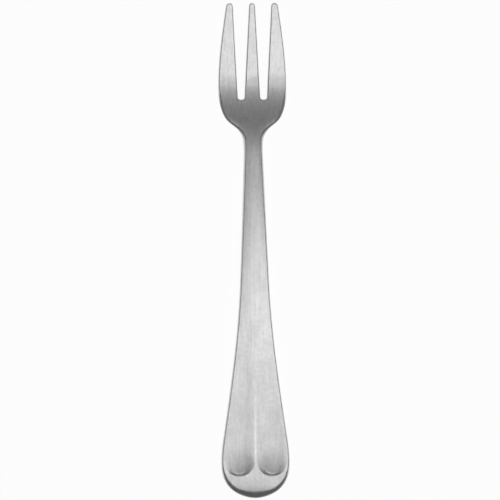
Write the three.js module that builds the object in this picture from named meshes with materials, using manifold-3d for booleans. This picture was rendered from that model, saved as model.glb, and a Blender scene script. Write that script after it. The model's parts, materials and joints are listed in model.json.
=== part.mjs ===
// Oyster fork, stamped from one blank of stainless steel, coined at the handle and bent.
// Millimetres, +Z up. It lies on a table: +Y runs from the handle end to the tine tips.
// The blank is drawn as eight named sections that meet face to face.
// A station is a distance along the fork from its handle end.

import * as THREE from "three";
import { mergeVertices } from "three/addons/utils/BufferGeometryUtils.js";
import Module from "manifold-3d";

const wasm = await Module();
wasm.setup();

// Lengths of the plan outline, one after another from the handle end to the tips
const endLength = 10.5; // round end, up to the widest place of the handle
const flareLength = 10.5; // widest place to the straight flank
const flankLength = 41; // tapering flank, up to the stem
const stemLength = 37.5; // stem, up to the waist
const waistLength = 3.5; // waist, up to where the neck starts to spread
const neckLength = 4.8; // neck, up to its steepest spread
const shoulderLength = 4.4; // round shoulder
const palmLength = 6.8; // shoulder to the widest place of the head
const taperLength = 24; // widest place of the head to the tips

// Widths of the plan outline at the ends of those lengths
const endWidth = 19.76;
const flankWidth = 17.46;
const stemWidth = 8.42;
const waistWidth = 5.5;
const neckWidth = 5.74;
const spreadWidth = 11.9;
const shoulderWidth = 18.04;
const endFullness = 2.6; // 2 is an ellipse, more holds the width for longer
const endRoundness = 1.85; // 2 is an ellipse, less is more pointed
const endFacetWidth = 1.6; // short straight stretch at the very end

// How fast the half-width grows there, in mm for each mm of length
const flankTaper = -0.147;
const stemTaper = -0.045;
const waistTaper = -0.036;
const neckFlare = 0.06;
const spreadFlare = 1.4;
const shoulderFlare = 0.33;
const headTaper = 0;
const tipTaper = -0.15;

// Tines and the two slots between them
const crotchLength = 7.45; // steepest spread of the neck to the slot bottoms
const slotRound = 0.75; // height of the round slot bottom
const rootGap = 1.86;
const tipGap = 4.7;
const centreRootWidth = 4.62;
const centreTipWidth = 1.7;
const outerRootWidth = 5.68;
const outerTipWidth = 1.85;
const tipRound = 1; // length of the round tip
const tipFacet = 0.35; // share of the tip's width that is left flat

// Side profile of the underside
const footLength = 3.8; // flat foot under the handle end
const heelLength = 8; // foot to where the handle runs straight
const heelRise = 0.4;
const heelSlope = 0.082;
const archSetback = 34; // top of the arch to the waist
const archRise = 4;
const waistRise = 2.26;
const waistSlope = -0.076;
const crankLength = 9.5; // waist to the steepest place of the bend
const crankRise = 1.18;
const crankSlope = -0.175;
const bowlLength = 9.8; // steepest place to the flat under the tines
const restLength = 2; // flat under the tines
const liftLength = 2.4; // flat to where the tines run nearly straight
const liftRise = 0.16;
const liftSlope = 0.12;
const tipRise = 2.5;
const tipSlope = 0.085;

// Thickness of the blank
const rimThickness = 1.3; // at the very end of the handle, before the bullnose
const rimSlope = 0.2; // how fast it grows from there
const endThickness = 2.1; // at the widest place of the handle
const stemThickness = 1.8;
const waistThickness = 2.4;
const headThickness = 1.6;
const tipThickness = 1.1;
const stemCrown = 0.3; // how far the middle of the stem's top stands up
const edgeBevel = 0.4;
const bevelLimit = 0.3; // most of a width or a thickness that one bevel takes
const endRoundLength = 2.4; // bullnose on top of the handle end
const endRoundDrop = 0.9;

// Coined panels on each side of the rib
const ribWidth = 0.7;
const panelRim = 0.3; // rim left along the handle's edge
const panelMargin = 6.35; // handle end to the panel's scalloped wall
const panelRound = 4; // height of the scallop
const scoopDepth = 0.55; // depth of the panel at the scallop
const scoopLength = 9; // scallop to where the scoop runs out
const fluteDepth = 0.09; // depth of the flutes beyond the scoop
const fluteMargin = 2; // end of the flutes to the stem
const panelClearance = 1.5; // height of the coining punch above the surface

// Facets
const sectionStep = 2.2; // longest step between stations along the handle and stem
const headStep = 1.1; // longest step along the neck, palm and tines
const roundSteps = 10; // steps along a round end
const bodyColumns = 12; // strips across the handle, stem and palm
const tineColumns = 4; // strips across a tine

const steelColour = 0xd2d2d2;
const steelRoughness = 0.3;

// Stations
const widestStation = endLength;
const flankStation = widestStation + flareLength;
const stemStation = flankStation + flankLength;
const waistStation = stemStation + stemLength;
const neckStation = waistStation + waistLength;
const spreadStation = neckStation + neckLength;
const shoulderStation = spreadStation + shoulderLength;
const headStation = shoulderStation + palmLength;
const tipStation = headStation + taperLength;
const rootStation = spreadStation + crotchLength + slotRound;
const heelStation = footLength + heelLength;
const archStation = waistStation - archSetback;
const crankStation = waistStation + crankLength;
const restStation = crankStation + bowlLength;
const restEnd = restStation + restLength;
const liftStation = restEnd + liftLength;
const panelStation = panelMargin + panelRound;
const scoopEnd = panelMargin + scoopLength;
const fluteEnd = stemStation - fluteMargin;

// Smooth cubic through knots [station, value, slope], constant before the first and after the last.
function cubicThrough(knots) {
  return (station) => {
    const next = knots.findIndex((knot) => knot[0] > station);
    if (next === 0) return knots[0][1];
    if (next === -1) return knots[knots.length - 1][1];
    const [start, startValue, startSlope] = knots[next - 1];
    const [end, endValue, endSlope] = knots[next];
    const span = end - start;
    const t = (station - start) / span;
    const blend = t * t * (3 - 2 * t);
    const startTangent = t * (1 - t) * (1 - t) * span * startSlope;
    const endTangent = t * t * (t - 1) * span * endSlope;
    return startValue + blend * (endValue - startValue) + startTangent + endTangent;
  };
}

const headHalfWidth = centreRootWidth / 2 + rootGap + outerRootWidth;
const tipHalfWidth = centreTipWidth / 2 + tipGap + outerTipWidth;

const flankHalfWidth = cubicThrough([
  [widestStation, endWidth / 2, 0],
  [flankStation, flankWidth / 2, flankTaper],
  [stemStation, stemWidth / 2, stemTaper],
  [waistStation, waistWidth / 2, waistTaper],
  [neckStation, neckWidth / 2, neckFlare],
  [spreadStation, spreadWidth / 2, spreadFlare],
  [shoulderStation, shoulderWidth / 2, shoulderFlare],
  [headStation, headHalfWidth, headTaper],
  [tipStation, tipHalfWidth, tipTaper],
]);

function halfWidth(station) {
  if (station >= widestStation) return flankHalfWidth(station);
  const fromWidest = 1 - station / widestStation;
  const share = (1 - fromWidest ** endFullness) ** (1 / endRoundness);
  return Math.max(share * endWidth, endFacetWidth) / 2;
}

const underside = cubicThrough([
  [footLength, 0, 0],
  [heelStation, heelRise, heelSlope],
  [archStation, archRise, 0],
  [waistStation, waistRise, waistSlope],
  [crankStation, crankRise, crankSlope],
  [restStation, 0, 0],
  [restEnd, 0, 0],
  [liftStation, liftRise, liftSlope],
  [tipStation, tipRise, tipSlope],
]);

const thickness = cubicThrough([
  [0, rimThickness, rimSlope],
  [widestStation, endThickness, 0],
  [stemStation, stemThickness, 0],
  [waistStation, waistThickness, 0],
  [headStation, headThickness, 0],
  [tipStation, tipThickness, 0],
]);

const crown = cubicThrough([
  [widestStation, 0, 0],
  [stemStation, stemCrown, 0],
  [waistStation, stemCrown, 0],
  [shoulderStation, 0, 0],
]);

function topSurface(x, station) {
  const across = x / halfWidth(station);
  const endShare = Math.max(0, 1 - station / endRoundLength);
  const flat = underside(station) + thickness(station) - endRoundDrop * endShare ** 2;
  return flat + crown(station) * (1 - across ** 2);
}

// Edges of the tines, measured from the middle of the fork
function alongTine(station, rootValue, tipValue) {
  return THREE.MathUtils.mapLinear(station, rootStation, tipStation, rootValue, tipValue);
}

function centreTineHalf(station) {
  return alongTine(station, centreRootWidth, centreTipWidth) / 2;
}

function outerTineInner(station) {
  return centreTineHalf(station) + alongTine(station, rootGap, tipGap);
}

function split(from, to, count) {
  return Array.from({ length: count + 1 }, (_, k) => from + ((to - from) * k) / count);
}

function evenSteps(from, to, longest) {
  return split(from, to, Math.ceil((to - from) / longest));
}

// Strips between two edges, the outermost ones as wide as the bevel
function columnsBetween(left, right, count) {
  const bevel = Math.min(edgeBevel, (right - left) * bevelLimit);
  return [left, ...split(left + bevel, right - bevel, count - 2), right];
}

// Closed body between a top and an underside, over strips that are given for each station.
function plate(stations, columnsAt, topAt, undersideAt, bevel) {
  const positions = [];
  const triangles = [];
  const rows = stations.map((station) => columnsAt(station));
  const columns = rows[0].length;
  const last = columns - 1;
  rows.forEach((row, j) => {
    row.forEach((x, i) => {
      const top = topAt(x, stations[j]);
      const bottom = undersideAt(x, stations[j]);
      const cut = i === 0 || i === last ? Math.min(bevel, (top - bottom) * bevelLimit) : 0;
      positions.push(x, stations[j], top - cut, x, stations[j], bottom + cut);
    });
  });
  const topOf = (j, i) => 2 * (j * columns + i);
  const bottomOf = (j, i) => topOf(j, i) + 1;
  const quad = (a, b, c, d) => triangles.push(a, b, c, a, c, d);
  const end = rows.length - 1;
  for (let j = 0; j < end; j += 1) {
    for (let i = 0; i < last; i += 1) {
      quad(topOf(j, i), topOf(j, i + 1), topOf(j + 1, i + 1), topOf(j + 1, i));
      quad(bottomOf(j, i), bottomOf(j + 1, i), bottomOf(j + 1, i + 1), bottomOf(j, i + 1));
    }
    quad(topOf(j, 0), topOf(j + 1, 0), bottomOf(j + 1, 0), bottomOf(j, 0));
    quad(topOf(j, last), bottomOf(j, last), bottomOf(j + 1, last), topOf(j + 1, last));
  }
  for (let i = 0; i < last; i += 1) {
    quad(topOf(0, i), bottomOf(0, i), bottomOf(0, i + 1), topOf(0, i + 1));
    quad(topOf(end, i), topOf(end, i + 1), bottomOf(end, i + 1), bottomOf(end, i));
  }
  const geometry = new THREE.BufferGeometry();
  geometry.setAttribute("position", new THREE.Float32BufferAttribute(positions, 3));
  geometry.setIndex(triangles);
  return geometry;
}

const roundStations = split(0, 1, roundSteps).map((share) => widestStation * share ** 2);
const flareStations = evenSteps(widestStation, flankStation, sectionStep);
const endStations = [...roundStations, ...flareStations.slice(1)];
const handleStations = evenSteps(flankStation, stemStation, sectionStep);

function bodySection(stations) {
  return plate(
    stations,
    (station) => columnsBetween(-halfWidth(station), halfWidth(station), bodyColumns),
    topSurface,
    (x, station) => underside(station),
    edgeBevel,
  );
}

// Depth of the coining below the plain top, greatest beside the rib
function coinDepth(x, station) {
  const outer = halfWidth(station) - panelRim - ribWidth / 2;
  const across = (Math.abs(x) - ribWidth / 2) / outer;
  const scoop = Math.max(0, (scoopEnd - station) / scoopLength);
  const flute = (fluteEnd - station) / (fluteEnd - panelMargin);
  return (scoopDepth * scoop ** 2 + fluteDepth * flute) * (1 - across ** 2);
}

// Coining punch of the panel on one side, side being 1 or -1
function panelPunch(side) {
  const scallop = split(0, Math.PI / 2, roundSteps).slice(1);
  const stations = [
    ...scallop.map((angle) => panelStation - panelRound * Math.cos(angle)),
    ...[...endStations, ...handleStations.slice(1)].filter((station) => station > panelStation),
  ];
  const columnsAt = (station) => {
    const inner = ribWidth / 2;
    const outer = halfWidth(station) - panelRim / 2;
    const below = Math.max(0, (panelStation - station) / panelRound);
    const half = ((outer - inner) / 2) * Math.sqrt(1 - below ** 2);
    const middle = (side * (inner + outer)) / 2;
    return split(middle - half, middle + half, bodyColumns);
  };
  return plate(
    stations,
    columnsAt,
    (x, station) => topSurface(x, station) + panelClearance,
    (x, station) => topSurface(x, station) - coinDepth(x, station),
    0,
  );
}

// Cutter for the round bottom of a slot, side being 1 or -1
function slotCutter(side) {
  const half = rootGap / 2;
  const middle = side * (centreRootWidth / 2 + half);
  const past = rootStation + slotRound;
  const shape = new THREE.Shape();
  shape.moveTo(middle + half, past);
  shape.lineTo(middle - half, past);
  shape.lineTo(middle - half, rootStation);
  shape.absellipse(middle, rootStation, half, slotRound, Math.PI, 2 * Math.PI, false, 0);
  const depth = 2 * (archRise + waistThickness);
  const geometry = new THREE.ExtrudeGeometry(shape, {
    depth,
    bevelEnabled: false,
    curveSegments: roundSteps,
  });
  geometry.translate(0, 0, -depth / 2);
  return geometry;
}

function solidOf(geometry) {
  const bare = geometry.clone();
  bare.deleteAttribute("normal");
  bare.deleteAttribute("uv");
  const welded = mergeVertices(bare);
  const vertProperties = new Float32Array(welded.getAttribute("position").array);
  const triVerts = new Uint32Array(welded.getIndex().array);
  return new wasm.Manifold(new wasm.Mesh({ numProp: 3, vertProperties, triVerts }));
}

function cutFrom(geometry, cutters) {
  const solid = cutters.reduce((rest, cutter) => rest.subtract(solidOf(cutter)), solidOf(geometry));
  const mesh = solid.getMesh();
  const result = new THREE.BufferGeometry();
  result.setAttribute("position", new THREE.Float32BufferAttribute(mesh.vertProperties, 3));
  result.setIndex(new THREE.Uint32BufferAttribute(mesh.triVerts, 1));
  return result;
}

// A tine between its two edges, drawn in to a round tip
function tineSection(leftAt, rightAt) {
  const roundStart = tipStation - tipRound;
  const facetAngle = Math.acos(tipFacet);
  const angles = split(0, facetAngle, roundSteps).slice(1);
  const reach = tipRound / Math.sin(facetAngle);
  const stations = [
    ...evenSteps(rootStation, restStation, headStep),
    restEnd,
    ...evenSteps(restEnd, roundStart, headStep).slice(1),
    ...angles.map((angle) => roundStart + reach * Math.sin(angle)),
  ];
  const columnsAt = (station) => {
    const left = leftAt(station);
    const right = rightAt(station);
    const past = Math.max(0, (station - roundStart) / reach);
    const half = ((right - left) / 2) * Math.sqrt(1 - past ** 2);
    const middle = (left + right) / 2;
    return columnsBetween(middle - half, middle + half, tineColumns);
  };
  return plate(stations, columnsAt, topSurface, (x, station) => underside(station), edgeBevel);
}

const fork = new THREE.Group();
fork.position.y = -tipStation / 2;

function addSection(name, geometry) {
  const steel = new THREE.MeshStandardMaterial({
    color: steelColour,
    roughness: steelRoughness,
    metalness: 1,
  });
  geometry.computeVertexNormals();
  const mesh = new THREE.Mesh(geometry, steel);
  mesh.name = name;
  fork.add(mesh);
}

const punches = [panelPunch(-1), panelPunch(1)];
addSection("handle_end", cutFrom(bodySection(endStations), punches));
addSection("handle", cutFrom(bodySection(handleStations), punches));

addSection("stem", bodySection(evenSteps(stemStation, waistStation, sectionStep)));
addSection("neck", bodySection(evenSteps(waistStation, spreadStation, headStep)));

const palmPlate = bodySection(evenSteps(spreadStation, rootStation, headStep));
addSection("palm", cutFrom(palmPlate, [slotCutter(-1), slotCutter(1)]));

addSection("tine_left", tineSection((s) => -halfWidth(s), (s) => -outerTineInner(s)));
addSection("tine_centre", tineSection((s) => -centreTineHalf(s), centreTineHalf));
addSection("tine_right", tineSection(outerTineInner, halfWidth));

export default fork;
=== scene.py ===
# %% [markdown]
# # An oyster fork pressed from one piece of steel
#
# The real fork has no joints and no added parts. A flat blank is cut from stainless sheet, its
# edges are rounded, two panels are coined into the handle, the blank is bent between two dies,
# and the whole fork is tumbled until it is satin. This lesson makes it in that order, as one
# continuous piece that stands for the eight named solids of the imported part.

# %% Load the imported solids
import json
import math

import bpy
import numpy as np
from mathutils import Matrix, Vector

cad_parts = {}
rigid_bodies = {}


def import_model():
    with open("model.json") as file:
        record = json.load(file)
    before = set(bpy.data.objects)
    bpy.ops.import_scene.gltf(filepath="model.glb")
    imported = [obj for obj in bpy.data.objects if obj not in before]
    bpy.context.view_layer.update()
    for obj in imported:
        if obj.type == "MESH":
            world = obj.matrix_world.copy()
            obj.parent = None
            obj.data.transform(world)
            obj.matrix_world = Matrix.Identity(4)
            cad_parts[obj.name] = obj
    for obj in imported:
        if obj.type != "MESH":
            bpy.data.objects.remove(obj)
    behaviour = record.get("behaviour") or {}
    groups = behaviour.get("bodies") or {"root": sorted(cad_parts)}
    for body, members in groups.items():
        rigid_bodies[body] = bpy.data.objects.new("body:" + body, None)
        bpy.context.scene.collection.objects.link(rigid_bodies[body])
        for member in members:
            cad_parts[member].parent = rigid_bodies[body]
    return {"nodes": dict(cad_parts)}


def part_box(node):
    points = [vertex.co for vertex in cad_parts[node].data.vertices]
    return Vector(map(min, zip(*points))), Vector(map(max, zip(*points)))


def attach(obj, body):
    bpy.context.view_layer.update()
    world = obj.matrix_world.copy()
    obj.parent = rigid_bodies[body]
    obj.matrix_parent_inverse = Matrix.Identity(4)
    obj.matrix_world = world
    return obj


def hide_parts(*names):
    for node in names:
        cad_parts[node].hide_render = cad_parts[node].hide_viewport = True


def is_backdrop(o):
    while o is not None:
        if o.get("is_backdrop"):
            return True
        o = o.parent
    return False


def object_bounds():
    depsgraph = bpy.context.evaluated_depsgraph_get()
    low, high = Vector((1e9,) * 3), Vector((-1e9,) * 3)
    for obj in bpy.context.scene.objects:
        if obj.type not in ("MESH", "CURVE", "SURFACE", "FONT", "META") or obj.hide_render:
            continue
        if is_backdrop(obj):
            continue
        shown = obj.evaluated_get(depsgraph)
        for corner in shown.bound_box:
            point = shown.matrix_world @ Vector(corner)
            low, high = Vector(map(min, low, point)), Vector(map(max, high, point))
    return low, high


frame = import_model()
cad_low, cad_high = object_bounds()
MM = 0.001
fork_length = cad_high.y - cad_low.y
print("solids:", ", ".join(sorted(frame["nodes"])))
print("fork length in mm:", round(fork_length / MM, 2))

# %% [markdown]
# ## The sections of the fork
#
# A place along the fork is called a station: its distance from the handle end. The solids
# already know where each section starts and how wide it is there, so these sizes are read from
# their boxes instead of being written a second time.

# %% Read the stations and widths


def stations(node):
    """Where a solid starts and ends, measured from the handle end."""
    low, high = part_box(node)
    return low.y - cad_low.y, high.y - cad_low.y


flank_start, stem_start = stations("handle")
waist = stations("stem")[1]
spread = stations("neck")[1]
tine_root = stations("palm")[1]
end_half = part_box("handle_end")[1].x
stem_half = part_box("stem")[1].x
spread_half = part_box("neck")[1].x
centre_root_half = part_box("tine_centre")[1].x
slot_outer_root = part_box("tine_right")[0].x
section_starts = flank_start, stem_start, waist, spread, tine_root
print("sections start at", [round(station / MM, 2) for station in section_starts])

# %% [markdown]
# ## The plan outline
#
# Seen from above, the handle swells to a round end, narrows to a stem, and spreads again into
# a head with three tines. Every flank is a smooth cubic through a few knots of station,
# half-width and slope, so a whole side needs only nine of them. A Bezier curve drawn by hand
# would do as well, but a formula can be asked for its width at any station later on.

# %% Cubic through knots


def smooth_through(knots):
    """A cubic through knots of station, value and slope, level outside them."""
    at, value, slope = np.array(knots, float).T

    def curve(station):
        held = np.clip(np.asarray(station, float), at[0], at[-1])
        k = np.clip(np.searchsorted(at, held, side="right") - 1, 0, len(at) - 2)
        span = at[k + 1] - at[k]
        t = (held - at[k]) / span
        ease = t * t * (3 - 2 * t)
        start_pull = t * (1 - t) ** 2 * span * slope[k]
        end_pull = t * t * (t - 1) * span * slope[k + 1]
        return value[k] + ease * (value[k + 1] - value[k]) + start_pull + end_pull

    return curve


print("a cubic from 0 to 1 is", float(smooth_through([(0, 0, 0), (1, 1, 0)])(0.5)), "half way")

# %% Side of the fork
end_length = 10.5 * MM
end_fullness = 2.6
end_roundness = 1.85
neck_start = waist + 3.5 * MM
shoulder = spread + 4.4 * MM
head_widest = shoulder + 6.8 * MM
head_half = 9.85 * MM
tip_half = 7.4 * MM

side_half = smooth_through([
    (end_length, end_half, 0),
    (flank_start, 8.73 * MM, -0.147),
    (stem_start, stem_half, -0.045),
    (waist, 2.75 * MM, -0.036),
    (neck_start, 2.87 * MM, 0.06),
    (spread, spread_half, 1.4),
    (shoulder, 9.02 * MM, 0.33),
    (head_widest, head_half, 0),
    (fork_length, tip_half, -0.15),
])


def half_width(station):
    """Half the fork's width: a full oval at the handle end, and the side's cubic beyond it."""
    from_widest = np.clip(1 - np.asarray(station, float) / end_length, 0, 1)
    round_end = end_half * (1 - from_widest ** end_fullness) ** (1 / end_roundness)
    return np.where(station < end_length, round_end, side_half(station))


print("half-width at the waist in mm:", round(float(half_width(waist)) / MM, 2))

# %% [markdown]
# ## Tines and slots
#
# The two slots are punched with round bottoms and grow wider towards the tips, so each tine
# tapers on both sides. Their edges are straight lines from root to tip. A tip is a small
# rounded cap, drawn with the same kind of full oval as the handle end. A Boolean could cut the
# slots out of a plain head, but then their edges could not be followed and rounded off.

# %% Edges of the tines
centre_tip_half = 0.85 * MM
tip_gap = 4.7 * MM
slot_depth = 0.75 * MM
cap_length = 1.0 * MM
cap_fullness = 2.3
slot_fullness = 2.6
cap_start = fork_length - cap_length


def along_tine(station, root_value, tip_value):
    """A value that changes evenly from the tine's root to its tip."""
    share = (np.asarray(station, float) - tine_root) / (fork_length - tine_root)
    return root_value + share * (tip_value - root_value)


def centre_edge(station):
    """Half the width of the middle tine."""
    return along_tine(station, centre_root_half, centre_tip_half)


def slot_outer_edge(station):
    """Distance from the middle of the fork to the outer edge of the slot."""
    return along_tine(station, slot_outer_root, centre_tip_half + tip_gap)


print("slot width at the root in mm:", round((slot_outer_root - centre_root_half) / MM, 2))

# %% [markdown]
# ## One line round half of the blank
#
# The fork is the same on both sides, so only the right half is drawn and mirrored later. One
# line runs from the middle of the handle end, up the side, round the outer tine, through the
# slot and up the middle tine to its tip. A second line lies inside it. Between the two the edge is rounded
# off, and the distance between them says how soft the edge is: broad at the handle end and
# the shoulders, narrow along the stem and the tines.

# %% Draw the outline
quarter = np.linspace(0, math.pi / 2, 90)
slot_turn = np.linspace(0, math.pi, 60)
cap_turn = np.linspace(0, math.pi, 121)
half_cap = slice(0, len(cap_turn) // 2 + 1)


def oval(angle, along, across):
    """Cosine and sine of an oval with its own fullness along and across, signs kept."""
    cosine, sine = np.cos(angle), np.sin(angle)
    return np.sign(cosine) * np.abs(cosine) ** (2 / along), np.abs(sine) ** (2 / across)


def points(x, station):
    """Points of the plan, one row for each."""
    return np.stack(np.broadcast_arrays(x, station), axis=1)


end_up, end_out = oval(quarter, end_fullness, end_roundness)
cap_across, cap_up = oval(cap_turn, cap_fullness, cap_fullness)
slot_across, slot_down = oval(slot_turn, slot_fullness, slot_fullness)
cap_station = cap_start + cap_length * cap_up
cap_middle = (half_width(cap_station) + slot_outer_edge(cap_station)) / 2
cap_half = (half_width(cap_station) - slot_outer_edge(cap_station)) / 2
slot_middle = (centre_root_half + slot_outer_root) / 2
slot_half = (slot_outer_root - centre_root_half) / 2
side_stations = np.linspace(end_length, cap_start, 900)
tine_stations = np.linspace(tine_root, cap_start, 120)

outline_pieces = {
    "end": points(end_half * end_out, end_length * (1 - end_up)),
    "side": points(half_width(side_stations), side_stations),
    "cap": points(cap_middle + cap_half * cap_across, cap_station),
    "inner": points(slot_outer_edge(tine_stations[::-1]), tine_stations[::-1]),
    "slot": points(slot_middle + slot_half * slot_across, tine_root - slot_depth * slot_down),
    "centre": points(centre_edge(tine_stations), tine_stations),
    "centre_cap": points(centre_edge(cap_station) * cap_across, cap_station)[half_cap],
}
outline = np.concatenate(list(outline_pieces.values()))
piece_of = np.repeat(list(outline_pieces), [len(piece) for piece in outline_pieces.values()])
same_place = 1e-6 * MM
fresh = np.r_[True, np.linalg.norm(np.diff(outline, axis=0), axis=1) > same_place]
outline, piece_of = outline[fresh], piece_of[fresh]
print("points on half the outline:", len(outline))

# %% Draw the line inside it
outer_softness = smooth_through([
    (0.1 * MM, 1.95 * MM, -0.6),
    (4 * MM, 1.25 * MM, -0.14),
    (12 * MM, 0.4 * MM, 0),
    (stem_start, 0.4 * MM, 0),
    (waist, 0.6 * MM, 0),
    (spread, 1.4 * MM, 0),
    (shoulder, 1.5 * MM, 0),
    (head_widest, 0.4 * MM, 0),
    (fork_length, 0.35 * MM, 0),
])
tine_softness = smooth_through([(tine_root, 0.4 * MM, 0), (fork_length, 0.35 * MM, 0)])

on_side = np.isin(piece_of, ["end", "side"])
softness = np.where(on_side, outer_softness(outline[:, 1]), tine_softness(outline[:, 1]))
heading = np.gradient(outline, axis=0)
heading /= np.linalg.norm(heading, axis=1, keepdims=True)
inward = np.stack([-heading[:, 1], heading[:, 0]], axis=1)
inward[0], inward[-1] = (0, 1), (0, -1)
inset = outline + inward * softness[:, None]
edge = np.concatenate([inset, outline], axis=1)
print("edge softness in mm:", round(softness.min() / MM, 2), "to", round(softness.max() / MM, 2))

# %% [markdown]
# ## A plan of quads
#
# Steel shows every fault of its mesh as a wobble in the reflection, so the blank is laid out as
# a regular grid: rows across the fork, columns along it. The round ends are four-sided patches
# filled in between their edges, and the rows lie close together where the panels are coined.
# A plain fill of the outline would be quicker, but its triangles would shade badly.

# %% Rows and columns
centre_columns, slot_columns, tine_columns = 9, 12, 22
column_count = centre_columns + slot_columns + tine_columns
middle_crowding = 1.3
body_share = np.linspace(0, 1, column_count + 1) ** middle_crowding
first_row = 5.4 * MM
last_row = 112.8 * MM
last_tine_row = fork_length - 2.2 * MM
row_spacing = smooth_through([
    (first_row, 0.1 * MM, 0),
    (11 * MM, 0.1 * MM, 0),
    (20 * MM, 0.7 * MM, 0),
    (94 * MM, 0.7 * MM, 0),
    (102 * MM, 0.25 * MM, 0),
    (last_row, 0.25 * MM, 0),
])


def graded_rows(start, end, spacing):
    """Stations from start to end, as far apart as the spacing says at each of them."""
    rows = [start]
    while rows[-1] < end:
        rows.append(rows[-1] + float(spacing(rows[-1])))
    rows = np.array(rows)
    return start + (rows - start) * (end - start) / (rows[-1] - start)


body_rows = graded_rows(first_row, last_row, row_spacing)
tine_rows = np.linspace(tine_root, last_tine_row, 58)
print("rows:", len(body_rows), "on the body,", len(tine_rows), "on a tine")
print("columns:", 2 * column_count)

# %% Pick points on the edge


def on_edge(names, at, axis=1):
    """Points of the named edge pieces where x (axis 0) or the station (axis 1) is as asked."""
    stretch = edge[np.isin(piece_of, names)]
    order = np.argsort(stretch[:, axis], kind="stable")
    key = stretch[order, axis]
    return np.stack([np.interp(at, key, stretch[order, k]) for k in range(4)], axis=-1)


def between(start, end, count):
    """Points of the edge from one index to another, evenly spaced along it."""
    stretch = edge[start:end + 1]
    way = np.r_[0, np.cumsum(np.linalg.norm(np.diff(stretch[:, :2], axis=0), axis=1))]
    at = np.linspace(0, way[-1], count + 1)
    return np.stack([np.interp(at, way, stretch[:, k]) for k in range(4)], axis=-1)


def inside(x, station):
    """Points that are not on the edge: their place on the outline is their own."""
    x, station = np.broadcast_arrays(x, station)
    return np.stack([x, station, x, station], axis=-1)


def index_where(names, station):
    """The edge point of the named pieces whose inset station is nearest."""
    found = np.flatnonzero(np.isin(piece_of, names))
    return found[np.abs(edge[found, 1] - station).argmin()]


print("inset half-width at the waist in mm:", np.round(on_edge(["end", "side"], waist)[0] / MM, 2))

# %% Fill four-sided patches


def patch(bottom, top, left, right):
    """Points inside four edges, each edge kept as it is."""
    u = np.linspace(0, 1, len(bottom))[None, :, None]
    v = np.linspace(0, 1, len(left))[:, None, None]
    across = (1 - v) * bottom[None] + v * top[None]
    along = (1 - u) * left[:, None] + u * right[:, None]
    low = (1 - u) * bottom[0] + u * bottom[-1]
    high = (1 - u) * top[0] + u * top[-1]
    return across + along - (1 - v) * low - v * high


def row_across(station, share):
    """A straight row from the middle of the fork to its inset edge."""
    end = on_edge(["end", "side"], station)
    row = inside(share * end[0], station)
    row[-1] = end
    return row


def tine_row(station, left, right, columns):
    """A straight row from one edge of a tine to the other."""
    share = np.linspace(0, 1, columns + 1)
    row = inside(left[0] + share * (right[0] - left[0]), station)
    row[0], row[-1] = left, right
    return row


print("points in half a row at the waist:", len(row_across(waist, body_share)))

# %% Handle end
end_corner_angle = math.radians(46)
end_patch_rows = 16
corner = int(np.abs(quarter - end_corner_angle).argmin())
row_above = row_across(first_row, body_share)
end_arc = on_edge(["end"], body_share * edge[corner, 0], axis=0)
end_side = between(corner, index_where(["end", "side"], first_row), end_patch_rows)
end_side[-1] = row_above[-1]
end_middle = inside(0.0, np.linspace(end_arc[0, 1], first_row, end_patch_rows + 1))
end_middle[0] = end_arc[0]
end_side[0] = end_arc[-1]
plan = [patch(end_arc, row_above, end_middle, end_side)]
print("handle end patch:", plan[-1].shape)

# %% Palm, with the rows dipping round the slot
outer_root = on_edge(["side"], tine_root)
slot_arc = edge[piece_of == "slot"]
slot_pick = np.linspace(0, len(slot_arc) - 1, slot_columns + 1).round().astype(int)
slot_row = slot_arc[slot_pick][::-1].copy()
inner_root, centre_root = slot_row[-1], slot_row[0]
middle_root = inside(0.0, tine_root)
centre_row = tine_row(tine_root, middle_root, centre_root, centre_columns)
outer_row = tine_row(tine_root, inner_root, outer_root, tine_columns)
root_row = np.concatenate([centre_row[:-1], slot_row[:-1], outer_row])
root_share = root_row[:, 0] / root_row[-1, 0]

dip_start = 103 * MM
dip = smooth_through([(dip_start, 0, 0), (last_row, 1, 0)])
body = [row_across(s, body_share + dip(s) * (root_share - body_share)) for s in body_rows]
plan.append(np.stack(body))

palm_rows = np.linspace(last_row, tine_root, 15)
palm_side = on_edge(["side"], palm_rows)
palm_middle = inside(0.0, palm_rows)
plan.append(patch(body[-1], root_row, palm_middle, palm_side))
print("body:", plan[-2].shape, "palm:", plan[-1].shape)

# %% Tines
cap_rows = 10
cap_corner_angle = 48


def tine_patches(root, left_at, right_at, cap_left, cap_top, cap_right):
    """Rows up a tine, then a patch under its cap."""
    columns = len(root) - 1
    rows = [root] + [tine_row(s, left_at(s), right_at(s), columns) for s in tine_rows[1:]]
    plan.append(np.stack(rows))
    plan.append(patch(rows[-1], cap_top, cap_left, cap_right))


cap_points = np.flatnonzero(piece_of == "cap")
cap_reach = round(len(cap_points) / 2 * cap_corner_angle / 90)
outer_corner, inner_corner = cap_points[0] + cap_reach, cap_points[-1] - cap_reach
outer_start = index_where(["side"], last_tine_row)
inner_start = index_where(["inner"], last_tine_row)
cap_right = between(outer_start, outer_corner, cap_rows)
cap_left = between(inner_corner, inner_start, cap_rows)[::-1]
cap_right[0] = on_edge(["side"], last_tine_row)
cap_left[0] = on_edge(["inner"], last_tine_row)
cap_top = between(outer_corner, inner_corner, tine_columns)[::-1]
tine_patches(outer_row, lambda s: on_edge(["inner"], s), lambda s: on_edge(["side"], s),
             cap_left, cap_top, cap_right)

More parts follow.
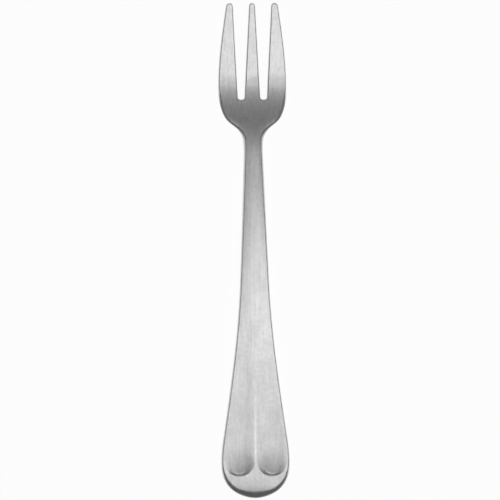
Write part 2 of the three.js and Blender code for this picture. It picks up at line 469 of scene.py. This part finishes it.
centre_points = np.flatnonzero(piece_of == "centre_cap")
centre_corner = centre_points[0] + round(len(centre_points) * cap_corner_angle / 90)
centre_right = between(index_where(["centre"], last_tine_row), centre_corner, cap_rows)
centre_right[0] = on_edge(["centre"], last_tine_row)
centre_top = between(centre_corner, len(edge) - 1, centre_columns)[::-1]
centre_left = inside(0.0, np.linspace(last_tine_row, centre_top[0, 1], cap_rows + 1))
centre_left[-1] = centre_top[0]
tine_patches(centre_row, lambda s: inside(0.0, s), lambda s: on_edge(["centre"], s),
             centre_left, centre_top, centre_right)
print("patches in half the plan:", len(plan))

# %% Mirror and join the patches


def quads_of(grid, first):
    """Quads of a grid of points, numbered from first, turning left."""
    rows, columns = grid.shape[:2]
    number = first + np.arange(rows * columns).reshape(rows, columns)
    corners = number[:-1, :-1], number[:-1, 1:], number[1:, 1:], number[1:, :-1]
    return np.stack(corners, axis=-1).reshape(-1, 4)


loose, quads = [], []
for side in (1, -1):
    for grid in plan:
        first = sum(len(block) for block in loose)
        found = quads_of(grid, first)
        quads.append(found if side == 1 else found[:, ::-1])
        loose.append(grid.reshape(-1, 4) * np.array([side, 1, side, 1]))
loose, quads = np.concatenate(loose), np.concatenate(quads)
weld_distance = 0.0005 * MM
keys = np.round(loose[:, :2] / weld_distance).astype(np.int64)
_, kept, joined = np.unique(keys, axis=0, return_index=True, return_inverse=True)
plan_points = loose[kept]
quads = joined.reshape(-1)[quads]
ways = np.stack([quads, np.roll(quads, -1, axis=1)], axis=-1).reshape(-1, 2)
known = set(map(tuple, ways))
rim_ways = np.array([way for way in ways if (way[1], way[0]) not in known])
print("plan points:", len(plan_points), "quads:", len(quads), "edges on the rim:", len(rim_ways))

# %% [markdown]
# ## Thickness and rounded edges
#
# The sheet is thin at the very end of the handle, thickest at the waist, where the fork carries
# most load, and thin again at the tips. The stem is slightly crowned. Two copies of the plan
# make the top and the underside, and rings of points between them make the edge: a quarter oval
# above and a squarer one below, which is how a tumbled edge wears. At the handle end and the
# shoulders the edge is widest high up, so that the top rolls over slowly and mirrors the dark
# part of the room. A Bevel modifier could round an edge too, but not with a softness that
# changes along it.

# %% Thickness and crown
thickness = smooth_through([
    (0, 1.3 * MM, 0.2),
    (end_length, 2.1 * MM, 0),
    (stem_start, 1.8 * MM, 0),
    (waist, 2.4 * MM, 0),
    (head_widest, 1.6 * MM, 0),
    (fork_length, 1.1 * MM, 0),
])
crown = smooth_through([
    (end_length, 0, 0),
    (stem_start, 0.15 * MM, 0),
    (waist, 0.2 * MM, 0),
    (shoulder, 0, 0),
])


def blank_top(x, station):
    """Height of the blank's top: the sheet's thickness and the crown over it."""
    across = x / np.maximum(half_width(station), weld_distance)
    return thickness(station) + crown(station) * (1 - across ** 2)


print("blank thickness at the waist in mm:", round(float(blank_top(0.0, waist)) / MM, 2))

# %% Sheets and rim
rim_steps = 16
# Share of the thickness at which the edge is widest
edge_height = smooth_through([
    (0.2 * MM, 0.5, 0),
    (2 * MM, 0.65, 0),
    (12 * MM, 0.45, 0),
    (neck_start, 0.45, 0),
    (spread, 0.72, 0),
    (shoulder, 0.72, 0),
    (head_widest, 0.45, 0),
])
top_roundness = smooth_through([(1 * MM, 1.7, 0), (6 * MM, 2.0, 0)])
under_roundness = 2.6
turn = np.linspace(0, math.pi, rim_steps + 1)[1:-1]

plan_x, plan_station = plan_points[:, 0], plan_points[:, 1]
top_height = blank_top(plan_x, plan_station)
sheet_size = len(plan_points)
top_sheet = np.stack([plan_x, plan_station, top_height], axis=1)
under_sheet = np.stack([plan_x, plan_station, np.zeros(sheet_size)], axis=1)

rim_points = np.unique(rim_ways)
rim_number = np.full(sheet_size, -1)
rim_number[rim_points] = np.arange(len(rim_points))
rim_inset, rim_outline = plan_points[rim_points, :2], plan_points[rim_points, 2:]
rim_middle = top_height[rim_points] * edge_height(rim_outline[:, 1])
rim_top_roundness = top_roundness(rim_outline[:, 1])
rim_under_roundness = np.full(len(rim_points), under_roundness)
rings, ring_reach = [], []
for angle in turn:
    above = angle < math.pi / 2
    roundness = rim_top_roundness if above else rim_under_roundness
    reach = np.sin(angle) ** (2 / roundness)
    rise = np.sign(np.cos(angle)) * np.abs(np.cos(angle)) ** (2 / roundness)
    ring_plan = rim_inset + reach[:, None] * (rim_outline - rim_inset)
    ring_height = blank_top(*ring_plan.T) - rim_middle if above else rim_middle
    rings.append(np.column_stack([ring_plan, rim_middle + rise * ring_height]))
    ring_reach.append(reach)

print("rings round the edge:", len(rings), "with", len(rim_points), "points each")

# %% Join sheets and rings


def ring_point(point, step):
    """Number of a rim point: step 0 is the top sheet, the last step the underside."""
    between_sheets = 2 * sheet_size + (step - 1) * len(rim_points) + rim_number[point]
    ends = {0: point, rim_steps: point + sheet_size}
    return ends.get(step, between_sheets)


blank_points = np.concatenate([top_sheet, under_sheet, *rings])
faces = [quads, quads[:, ::-1] + sheet_size]
way_start, way_end = rim_ways.T
for step in range(rim_steps):
    around = (ring_point(way_end, step), ring_point(way_start, step),
              ring_point(way_start, step + 1), ring_point(way_end, step + 1))
    faces.append(np.stack(around, axis=1))
blank_faces = np.concatenate(faces)
rim_wear = np.concatenate([np.zeros(2 * sheet_size), *ring_reach])
print("blank points:", len(blank_points), "faces:", len(blank_faces))

# %% [markdown]
# ## Coined panels
#
# Two shallow panels are pressed into the handle, one on each side of a narrow rib. Each starts
# at a scalloped wall near the end, which is narrow there and softer along the rib, is deepest
# beside the rib, and runs out towards the stem as a faint flute. The rib's crest is worn a
# little brighter. Cutting the panels with a Boolean would leave sharp lips and broken quads, so
# the script works out how much of the punch's depth reaches each point and keeps that share as
# an attribute on the mesh. The press below turns it into depth.

# %% Share of the punch's depth at each point
rib_half = 0.35 * MM
panel_rim = 0.3 * MM
scallop_start = 6.35 * MM
scallop_height = 4 * MM
scoop_length = 9 * MM
flute_end = stem_start - 2 * MM
end_wall = 0.9 * MM
side_wall = 2.8 * MM
wall_roundness = 1.6
outer_fade = 3
scoop_fade = 2
crest_wear = smooth_through([(8 * MM, 0, 0), (14 * MM, 1, 0), (42 * MM, 0, 0)])


def fillet(share):
    """Rises from a sharp lip and levels out: 0 at the lip, 1 on the floor."""
    return 1 - (1 - np.clip(share, 0, 1)) ** wall_roundness


def punch_shares(x, station):
    """Shares of the scoop's depth, the flute's depth and the rib's polish on the top."""
    from_rib = np.abs(x) - rib_half
    panel_half = (half_width(station) - panel_rim - rib_half) / 2
    sideways = from_rib / panel_half - 1
    endways = np.clip((scallop_start + scallop_height - station) / scallop_height, 0, None)
    outward = np.hypot(sideways, endways)
    wall_width = side_wall + (end_wall - side_wall) * (endways / outward) ** 2
    wall = fillet((1 - outward) * panel_half / wall_width)
    scoop_left = np.clip((scallop_start + scoop_length - station) / scoop_length, 0, 1)
    scoop = scoop_left ** scoop_fade
    flute = np.clip((flute_end - station) / (flute_end - scallop_start), 0, 1)
    fade = wall * (1 - np.clip(from_rib / (2 * panel_half), 0, 1) ** outer_fade)
    hollow = wall * np.clip(1 - sideways ** 2, 0, 1)
    crest = np.exp(-(x / rib_half) ** 2) * crest_wear(station)
    return fade * scoop, hollow * flute, crest


with np.errstate(divide="ignore", invalid="ignore"):
    shares = punch_shares(plan_x, plan_station)
untouched = np.zeros(len(blank_points) - sheet_size)
whole = [np.concatenate([np.nan_to_num(share), untouched]) for share in shares]
scoop_share, flute_share, crest_share = whole
polish = np.maximum(rim_wear, crest_share)
print("points under the punch:", int((scoop_share > 0).sum()))

# %% Make the blank
blank_mesh = bpy.data.meshes.new("fork")
in_part_frame = blank_points + np.array([0, cad_low.y, 0])
blank_mesh.from_pydata(in_part_frame.tolist(), [], blank_faces.tolist())
for name, values in (("scoop", scoop_share), ("flute", flute_share), ("polish", polish)):
    attribute = blank_mesh.attributes.new(name, "FLOAT", "POINT")
    attribute.data.foreach_set("value", values.astype(np.float32))
blank_mesh.validate()
fork = bpy.data.objects.new("fork", blank_mesh)
bpy.context.scene.collection.objects.link(fork)
print("blank:", len(blank_mesh.vertices), "vertices,", 2 * len(blank_mesh.polygons), "triangles")

# %% [markdown]
# ## The die
#
# Two dies give the flat blank its side view: a foot under the handle end, a long rise to the top
# of the arch under the stem, a bend down into the head, a lowest place under the tines, and tips
# that lift again. The die is one Bezier curve, seen from the side. Handles a third of the way
# to the next point make each stretch the cubic with the slopes that are asked for. A row of
# hooked empties could bend the blank as well, but one curve shows the whole side view at once.

# %% Draw the die
foot_end = 3.8 * MM
heel = foot_end + 8 * MM
arch_top = waist - 34 * MM
crank = waist + 9.5 * MM
lowest = crank + 10.6 * MM
tip_bend = lowest + 3.6 * MM
die_margin = 3 * MM
tip_rise = 2.5 * MM
tip_slope = 0.085
die_knots = [
    (-die_margin, 0, 0),
    (foot_end, 0, 0),
    (heel, 0.4 * MM, 0.082),
    (arch_top, 4.0 * MM, 0),
    (waist, 2.26 * MM, -0.076),
    (crank, 1.18 * MM, -0.175),
    (lowest, 0, 0),
    (tip_bend, 0.16 * MM, 0.12),
    (fork_length, tip_rise, tip_slope),
    (fork_length + die_margin, tip_rise + die_margin * tip_slope, tip_slope),
]
print("die knots:", len(die_knots))

# %% Make the die
die_curve = bpy.data.curves.new("die", "CURVE")
die_curve.dimensions = "3D"
die_curve.twist_mode = "Z_UP"
die_curve.resolution_u = 200
spline = die_curve.splines.new("BEZIER")
spline.bezier_points.add(len(die_knots) - 1)
for k, (station, rise, slope) in enumerate(die_knots):
    before = (station - die_knots[max(k - 1, 0)][0]) / 3
    after = (die_knots[min(k + 1, len(die_knots) - 1)][0] - station) / 3
    point = spline.bezier_points[k]
    point.handle_left_type = point.handle_right_type = "FREE"
    point.co = (0, cad_low.y + station, rise)
    point.handle_left = (0, cad_low.y + station - before, rise - before * slope)
    point.handle_right = (0, cad_low.y + station + after, rise + after * slope)
die = bpy.data.objects.new("die", die_curve)
bpy.context.scene.collection.objects.link(die)
print("points on the die curve:", len(spline.bezier_points))

# %% [markdown]
# ## Stainless steel, tumbled to a satin
#
# The finish comes from a drum of small stones. It leaves the steel a neutral pale grey with a
# very fine grain, a soft and slightly cloudy reflection, and faint lengthwise streaks from the
# rolling of the sheet. Edges that the stones reach most are a little smoother, and the coined
# panels a little duller. Scratches could be drawn one by one, but at this size only their mean
# effect shows, so all of this is one metal shader: noise moves its roughness, its colour by a
# trace, and the bump.

# %% Colours and nodes


def linear(hex_colour):
    """A colour written as sRGB hex, as the linear values that a shader takes."""
    channels = [int(hex_colour[k:k + 2], 16) / 255 for k in (1, 3, 5)]
    toned = [c / 12.92 if c <= 0.04045 else ((c + 0.055) / 1.055) ** 2.4 for c in channels]
    return (*toned, 1.0)


def add_node(tree, kind, inputs=None, **settings):
    """Adds a node, sets it up, and links or sets its inputs."""
    node = tree.nodes.new(kind)
    for name, value in settings.items():
        setattr(node, name, value)
    for socket, value in (inputs or {}).items():
        if isinstance(value, bpy.types.NodeSocket):
            tree.links.new(value, node.inputs[socket])
        else:
            node.inputs[socket].default_value = value
    return node


print("pale grey in linear light:", [round(c, 3) for c in linear("#cfcfcf")])

# %% Sizes and levels of the finish
# The stones leave marks far finer than a pixel, so the grain is drawn coarse enough to show.
grain_size = 0.9 * MM
streak_width = 0.5 * MM
streak_length = 14 * MM
cloud_size = 3.5 * MM
grain_height = 0.004 * MM
grain_strength = 0.25
mark_low, mark_high = 0.7, 1.3
cloud_low, cloud_high = 0.3, 0.7
steel_darker, steel_lighter = "#c4c4c4", "#d4d4d4"
satin_smoothest, satin_roughest = 0.315, 0.335
coined_dulling = 0.05
worn_smoothing = -0.06
print("roughness of the satin:", satin_smoothest, "to", satin_roughest)

# %% Tumbled stainless steel
# To the eye this is a soft grey sheen that slides along the fork, with no sharp mirror image.
steel = bpy.data.materials.new("tumbled_stainless_steel")
steel.use_nodes = True
shade = steel.node_tree
shade.nodes.clear()
on_fork = add_node(shade, "ShaderNodeTexCoord").outputs["Object"]
streak_scale = (1 / streak_width, 1 / streak_length, 1 / streak_width)
along_fork = add_node(shade, "ShaderNodeMapping", {"Vector": on_fork, "Scale": streak_scale})
grain = add_node(shade, "ShaderNodeTexNoise",
                 {"Vector": on_fork, "Scale": 1 / grain_size, "Detail": 2.0})
streak = add_node(shade, "ShaderNodeTexNoise",
                  {"Vector": along_fork.outputs["Vector"], "Scale": 1.0, "Detail": 1.0})
cloud = add_node(shade, "ShaderNodeTexNoise",
                 {"Vector": on_fork, "Scale": 1 / cloud_size, "Detail": 2.0})
worn_edge = add_node(shade, "ShaderNodeAttribute", attribute_name="polish").outputs["Fac"]
coined = add_node(shade, "ShaderNodeAttribute", attribute_name="scoop").outputs["Fac"]

marks = add_node(shade, "ShaderNodeMath",
                 {0: grain.outputs["Fac"], 1: streak.outputs["Fac"]}, operation="ADD")
tint = add_node(shade, "ShaderNodeMapRange",
                {"Value": marks.outputs[0], "From Min": mark_low, "From Max": mark_high})
colour = add_node(shade, "ShaderNodeMix", {"Factor": tint.outputs[0]}, data_type="RGBA")
colour.inputs["A"].default_value = linear(steel_darker)
colour.inputs["B"].default_value = linear(steel_lighter)
haze = add_node(shade, "ShaderNodeMapRange",
                {"Value": cloud.outputs["Fac"], "From Min": cloud_low, "From Max": cloud_high,
                 "To Min": satin_smoothest, "To Max": satin_roughest})
dulled = add_node(shade, "ShaderNodeMath",
                  {0: coined, 1: coined_dulling, 2: haze.outputs[0]}, operation="MULTIPLY_ADD")
smoothed = add_node(shade, "ShaderNodeMath",
                    {0: worn_edge, 1: worn_smoothing, 2: dulled.outputs[0]},
                    operation="MULTIPLY_ADD")
bump = add_node(shade, "ShaderNodeBump",
                {"Height": marks.outputs[0], "Strength": grain_strength, "Distance": grain_height})
metal = add_node(shade, "ShaderNodeBsdfPrincipled",
                 {"Base Color": colour.outputs["Result"], "Roughness": smoothed.outputs[0],
                  "Normal": bump.outputs["Normal"], "Metallic": 1.0})
add_node(shade, "ShaderNodeOutputMaterial", {"Surface": metal.outputs["BSDF"]})
print("steel nodes:", len(shade.nodes))

# %% [markdown]
# ## The press
#
# Geometry Nodes do the pressing. The tree sweeps the die into a ribbon wider than the fork,
# shoots a ray up from below at every point of the blank, and lifts the point by the height at
# which the ray meets the ribbon. In the same stroke it pushes the panels down by the punch's
# depth. A Lattice or a Curve modifier could bend the blank too, but they would change its
# length, and the solids keep theirs.

# %% Build the press
press = bpy.data.node_groups.new("press", "GeometryNodeTree")
sockets = {}
for name, kind in (("Blank", "Geometry"), ("Die", "Object"), ("Ribbon half-width", "Float"),
                   ("Scoop depth", "Float"), ("Flute depth", "Float"), ("Steel", "Material")):
    made = press.interface.new_socket(name, in_out="INPUT", socket_type="NodeSocket" + kind)
    sockets[name] = made.identifier
press.interface.new_socket("Fork", in_out="OUTPUT", socket_type="NodeSocketGeometry")
print("inputs of the press:", ", ".join(sockets))

# %% Lift the blank onto the die
given = add_node(press, "NodeGroupInput").outputs
ribbon_left = add_node(press, "ShaderNodeMath",
                       {0: given["Ribbon half-width"], 1: -1.0}, operation="MULTIPLY")
ribbon_start = add_node(press, "ShaderNodeCombineXYZ", {"X": ribbon_left.outputs[0]})
ribbon_end = add_node(press, "ShaderNodeCombineXYZ", {"X": given["Ribbon half-width"]})
ribbon_line = add_node(press, "GeometryNodeCurvePrimitiveLine",
                       {"Start": ribbon_start.outputs[0], "End": ribbon_end.outputs[0]})
die_info = add_node(press, "GeometryNodeObjectInfo", {"Object": given["Die"]})
ribbon = add_node(press, "GeometryNodeCurveToMesh",
                  {"Curve": die_info.outputs["Geometry"],
                   "Profile Curve": ribbon_line.outputs["Curve"]})
here = add_node(press, "GeometryNodeInputPosition").outputs["Position"]
ground = add_node(press, "ShaderNodeVectorMath", {0: here, 1: (1, 1, 0)}, operation="MULTIPLY")
ray_depth = 1.0
under_point = add_node(press, "ShaderNodeVectorMath",
                       {0: ground.outputs[0], 1: (0, 0, -ray_depth)}, operation="ADD")
ray = add_node(press, "GeometryNodeRaycast",
               {"Target Geometry": ribbon.outputs["Mesh"],
                "Source Position": under_point.outputs[0],
                "Ray Direction": (0, 0, 1), "Ray Length": 2 * ray_depth})
die_height = add_node(press, "ShaderNodeSeparateXYZ", {0: ray.outputs["Hit Position"]}).outputs["Z"]
print("press nodes that lift:", len(press.nodes))

# %% Push the panels down and hand the fork over
stroke_height = die_height
for name, depth in (("scoop", "Scoop depth"), ("flute", "Flute depth")):
    punched = add_node(press, "GeometryNodeInputNamedAttribute", {"Name": name}, data_type="FLOAT")
    push = add_node(press, "ShaderNodeMath",
                    {0: punched.outputs["Attribute"], 1: given[depth]}, operation="MULTIPLY")
    lowered = add_node(press, "ShaderNodeMath",
                       {0: stroke_height, 1: push.outputs[0]}, operation="SUBTRACT")
    stroke_height = lowered.outputs[0]
offset = add_node(press, "ShaderNodeCombineXYZ", {"Z": stroke_height})
moved = add_node(press, "GeometryNodeSetPosition",
                 {"Geometry": given["Blank"], "Offset": offset.outputs[0]})
smooth = add_node(press, "GeometryNodeSetShadeSmooth", {"Geometry": moved.outputs["Geometry"]})
real = add_node(press, "GeometryNodeRealizeInstances", {"Geometry": smooth.outputs["Geometry"]})
finished = add_node(press, "GeometryNodeSetMaterial",
                    {"Geometry": real.outputs["Geometry"], "Material": given["Steel"]})
add_node(press, "NodeGroupOutput", {"Fork": finished.outputs["Geometry"]})
print("press nodes:", len(press.nodes))

# %% Press the fork
scoop_depth = 0.46 * MM
flute_depth = 0.09 * MM
ribbon_half = 1.5 * end_half
stroke = fork.modifiers.new("press", "NODES")
stroke.node_group = press
stroke[sockets["Die"]] = die
stroke[sockets["Ribbon half-width"]] = ribbon_half
stroke[sockets["Scoop depth"]] = scoop_depth
stroke[sockets["Flute depth"]] = flute_depth
stroke[sockets["Steel"]] = steel
evaluated = fork.evaluated_get(bpy.context.evaluated_depsgraph_get())
pressed = bpy.data.meshes.new_from_object(evaluated)
fork.modifiers.remove(stroke)
fork.data = pressed
bpy.data.objects.remove(die)
bpy.data.meshes.remove(blank_mesh)
pressed.name = "fork"
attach(fork, "root")
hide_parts(*sorted(frame["nodes"]))
heights = [vertex.co.z for vertex in pressed.vertices]
print("fork height in mm:", round(min(heights) / MM, 3), "to", round(max(heights) / MM, 3))

# %% [markdown]
# ## Table, light and camera
#
# The fork lies on a white table under two round lamps, a key lamp towards the handle and a
# broad, weaker fill lamp overhead. Steel shows what it mirrors, so the room matters as much as
# the lamps: it is dark above its walls, which draws the thin dark line along every rounded edge,
# a little lighter towards the head, and pale along the walls, which fills the side views. The
# table shows itself white to the camera and in reflections through Light Path, and still takes
# the fork's faint shadow. A photograph of a room wrapped round the scene would light it too,
# but a few graded levels can be read and changed. The camera looks almost straight down through
# a long lens.

# %% White table
table_half = 40.0
table_glow = 0.9
table_grey = "#808080"
corner_signs = (-1, -1), (1, -1), (1, 1), (-1, 1)
table_corners = [(x * table_half, y * table_half, 0) for x, y in corner_signs]
table_mesh = bpy.data.meshes.new("table")
table_mesh.from_pydata(table_corners, [], [(0, 1, 2, 3)])
table = bpy.data.objects.new("table", table_mesh)
bpy.context.scene.collection.objects.link(table)
table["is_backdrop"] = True

paint = bpy.data.materials.new("white_table")
paint.use_nodes = True
coat = paint.node_tree
coat.nodes.clear()
path = add_node(coat, "ShaderNodeLightPath").outputs
mirrored = add_node(coat, "ShaderNodeMath",
                    {0: path["Is Glossy Ray"], 1: path["Is Transmission Ray"]},
                    operation="MAXIMUM")
seen = add_node(coat, "ShaderNodeMath",
                {0: path["Is Camera Ray"], 1: mirrored.outputs[0]}, operation="MAXIMUM")
glow_level = add_node(coat, "ShaderNodeMath",
                      {0: seen.outputs[0], 1: table_glow}, operation="MULTIPLY")
glow = add_node(coat, "ShaderNodeEmission",
                {"Color": linear("#ffffff"), "Strength": glow_level.outputs[0]})
matt = add_node(coat, "ShaderNodeBsdfDiffuse", {"Color": linear(table_grey)})
both = add_node(coat, "ShaderNodeAddShader", {0: glow.outputs[0], 1: matt.outputs[0]})
add_node(coat, "ShaderNodeOutputMaterial", {"Surface": both.outputs[0]})
table_mesh.materials.append(paint)
print("table half-width in m:", table_half)

# %% Lamps
lamp_height = 1.5
key_place, key_radius, key_level = (0.18, -0.215), 0.34, 1.55
fill_place, fill_radius, fill_level = (0.0, 0.08), 0.55, 0.34


def add_lamp(name, place, radius, radiance):
    """A round area lamp that faces the fork and is as bright as asked."""
    light = bpy.data.lights.new(name, "AREA")
    light.shape = "DISK"
    light.size = 2 * radius
    light.energy = radiance * math.pi * (math.pi * radius ** 2)
    lamp = bpy.data.objects.new(name, light)
    lamp.location = (*place, lamp_height)
    lamp.rotation_euler = lamp.location.to_track_quat("Z", "Y").to_euler()
    bpy.context.scene.collection.objects.link(lamp)
    return light.energy


key_power = add_lamp("key_lamp", key_place, key_radius, key_level)
fill_power = add_lamp("fill_lamp", fill_place, fill_radius, fill_level)
print("lamp power in W:", round(key_power, 2), "and", round(fill_power, 2))

# %% Room
ceiling_axis = (0, 0.5, 0.866)
ceiling_low, ceiling_high = 0.1, 0.9
ceiling_darkest, ceiling_lightest = 0.02, 0.2
# The walls reach higher behind the head, and the handle's round end still mirrors the dark.
wall_axis = (0, -0.17, 0.985)
wall_foot, wall_top = 0.2, 0.72
wall_lightest, wall_darkest = 0.55, 0.1

room = bpy.data.worlds.new("room")
bpy.context.scene.world = room
room.use_nodes = True
air = room.node_tree
air.nodes.clear()
facing = add_node(air, "ShaderNodeTexCoord").outputs["Generated"]
toward_head = add_node(air, "ShaderNodeVectorMath",
                       {0: facing, 1: ceiling_axis}, operation="DOT_PRODUCT")
ceiling = add_node(air, "ShaderNodeMapRange",
                   {"Value": toward_head.outputs["Value"],
                    "From Min": ceiling_low, "From Max": ceiling_high,
                    "To Min": ceiling_darkest, "To Max": ceiling_lightest})
up_the_wall = add_node(air, "ShaderNodeVectorMath",
                       {0: facing, 1: wall_axis}, operation="DOT_PRODUCT")
wall = add_node(air, "ShaderNodeMapRange",
                {"Value": up_the_wall.outputs["Value"],
                 "From Min": wall_foot, "From Max": wall_top,
                 "To Min": wall_lightest, "To Max": wall_darkest})
brighter = add_node(air, "ShaderNodeMath",
                    {0: ceiling.outputs[0], 1: wall.outputs[0]}, operation="MAXIMUM")
sky = add_node(air, "ShaderNodeBackground",
               {"Color": linear("#ffffff"), "Strength": brighter.outputs[0]})
add_node(air, "ShaderNodeOutputWorld", {"Surface": sky.outputs[0]})
print("room nodes:", len(air.nodes))

# %% Camera
lens = 300.0
sensor = 36.0
view_width = 144.63 * MM
lean = math.radians(3.0)
roll = math.radians(0.48)
aim = Vector((-1.0 * MM, 0.22 * MM, 0))
back = Vector((-math.sin(lean), 0, math.cos(lean)))
up = Vector((math.sin(roll), math.cos(roll), 0))
right = up.cross(back).normalized()
camera_data = bpy.data.cameras.new("camera")
camera_data.lens = lens
camera_data.sensor_width = sensor
camera = bpy.data.objects.new("camera", camera_data)
axes = Matrix((right, back.cross(right), back)).transposed()
distance = view_width * lens / sensor
camera.matrix_world = Matrix.Translation(aim + back * distance) @ axes.to_4x4()
bpy.context.scene.collection.objects.link(camera)
bpy.context.scene.camera = camera
bpy.context.scene.view_settings.view_transform = "Standard"
print("camera distance in m:", round(distance, 3))

# %% [markdown]
# ## Sizes
#
# A fork that fits its drawn box can replace the plain solids anywhere. So the box of the solids
# and the box of the finished piece are printed for comparison.

# %% Write the sizes
low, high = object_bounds()
sizes = {"cad": [list(cad_low), list(cad_high)], "visual": [list(low), list(high)]}
for model, box in sizes.items():
    print(model, "box in mm:", [[round(c / MM, 2) for c in box_corner] for box_corner in box])
